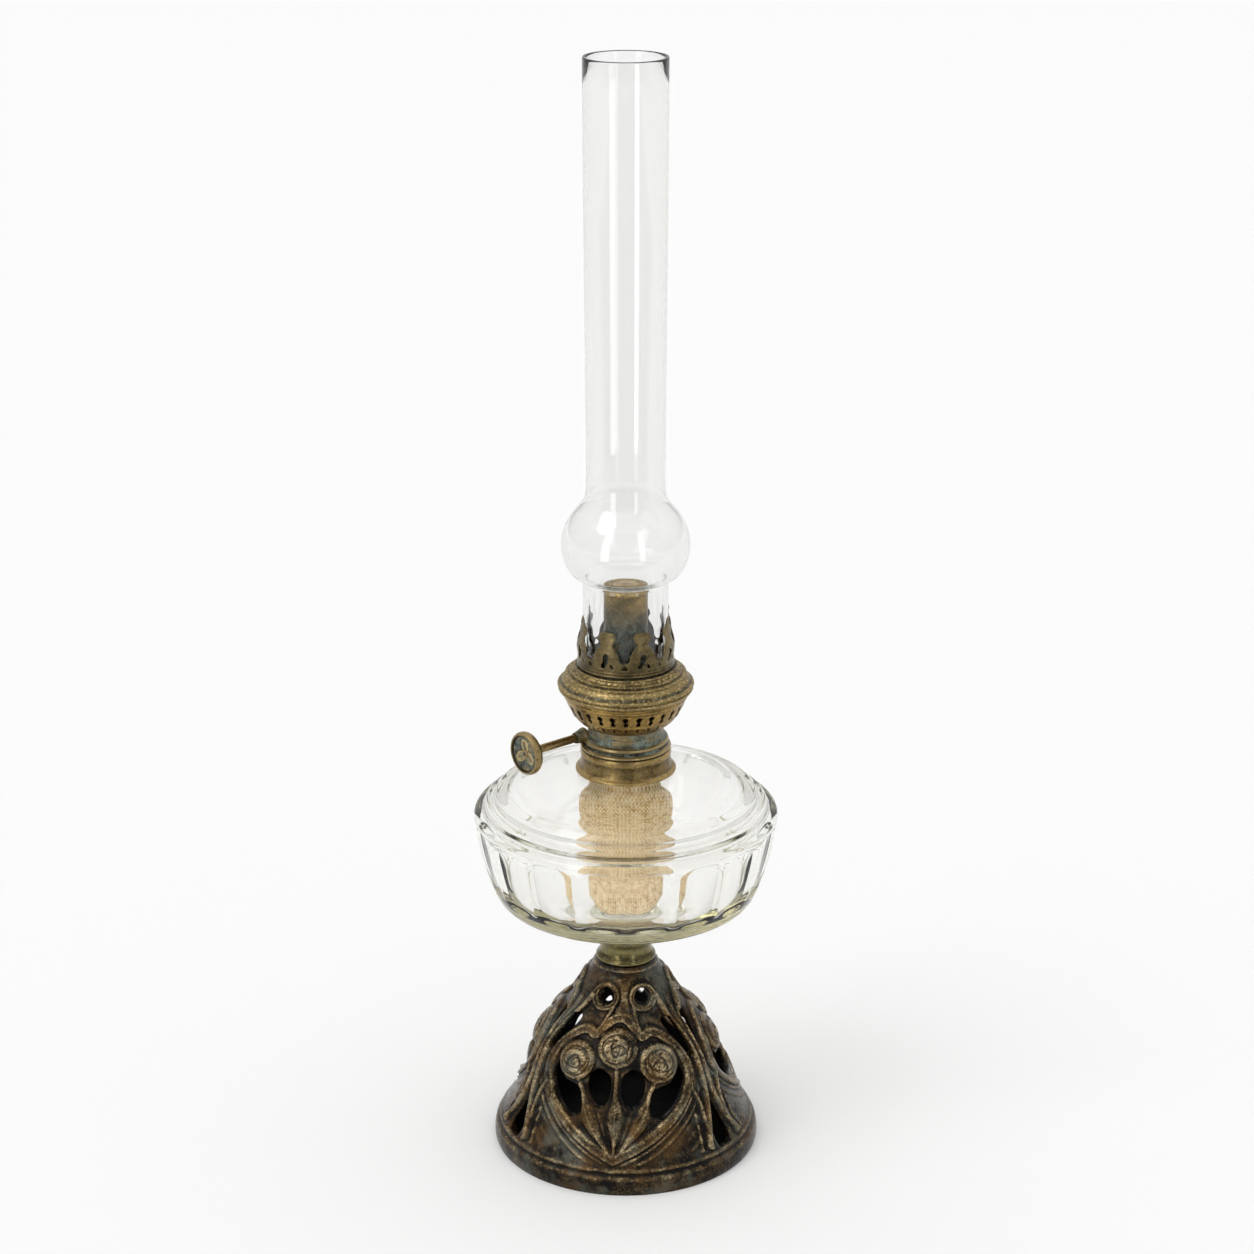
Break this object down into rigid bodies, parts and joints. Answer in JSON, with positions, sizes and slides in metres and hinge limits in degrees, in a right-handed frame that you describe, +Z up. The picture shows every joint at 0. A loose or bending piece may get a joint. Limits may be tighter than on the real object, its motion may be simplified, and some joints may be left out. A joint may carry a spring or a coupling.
{
  "type": "oil lamp",
  "caption": "Table oil lamp: pierced cast foot, pressed-glass oil font, brass round-wick burner with wick knob, pronged gallery and tall glass chimney.",
  "frame": {"origin": "centre of the foot's underside, on the lamp's axis", "axes": "+Z up along the lamp's axis; the front of the lamp faces -Y, the wick knob points to the left and front"},
  "size_m": [0.154, 0.154, 0.562],
  "materials": {
    "cast_metal": "dark bronzed casting, worn golden brown on the raised relief",
    "steel": "dull, slightly rusted",
    "aged_brass": "aged olive brass with brown spots",
    "burner_brass": "aged golden brass, darker in the recesses",
    "verdigris_brass": "brass with blue-green verdigris",
    "plaster": "matt plaster of Paris",
    "font_glass": "clear pressed glass, faint olive tint where it is thick",
    "chimney_glass": "clear blown glass",
    "wick_cotton": "woven cotton, tan, slightly charred at the top edge"
  },
  "bodies": {
    "lamp_base": {"foot_casting": "cast_metal", "foot_washer": "steel", "foot_nut": "steel", "tie_rod": "steel", "stem_collar": "aged_brass", "peg_plaster": "plaster", "glass_font": "font_glass", "neck_plaster": "plaster", "font_collar": "burner_brass"},
    "burner": {"burner_base": "verdigris_brass", "spindle_sleeve": "verdigris_brass", "tube_plate": "aged_brass", "wheel_bracket": "aged_brass", "wick_tube": "burner_brass", "draught_tube": "aged_brass", "air_duct": "aged_brass", "basket": "aged_brass", "gallery_deck": "burner_brass", "gallery_crown": "burner_brass"},
    "wick_raiser": {"wick_spindle": "aged_brass", "spur_wheel_1": "burner_brass", "spur_wheel_2": "burner_brass", "wick_knob": "aged_brass", "knob_pin": "steel"},
    "wick": {"wick": "wick_cotton"},
    "chimney": {"chimney": "chimney_glass"}
  },
  "joints": [
    {"name": "burner_lift", "type": "slide", "parent": "lamp_base", "child": "burner", "axis": [0, 0, 1], "range_m": [0, 0.11], "deforming": ["wick"]},
    {"name": "knob_turn", "type": "hinge", "parent": "burner", "child": "wick_raiser", "pos_m": [-0.00823, 0.0098, 0.2238], "axis": [0.766, 0.6428, 0], "range_deg": [-98, 130.9]},
    {"name": "wick_raise", "type": "slide", "parent": "burner", "child": "wick", "axis": [0, 0, 1], "range_m": [-0.008, 0.006]},
    {"name": "chimney_lift", "type": "slide", "parent": "burner", "child": "chimney", "axis": [0, 0, 1], "range_m": [0, 0.09]}
  ],
  "couplings": [
    {"joint": "wick_raise", "follows": "knob_turn", "m_per_rad": -0.0035}
  ]
}
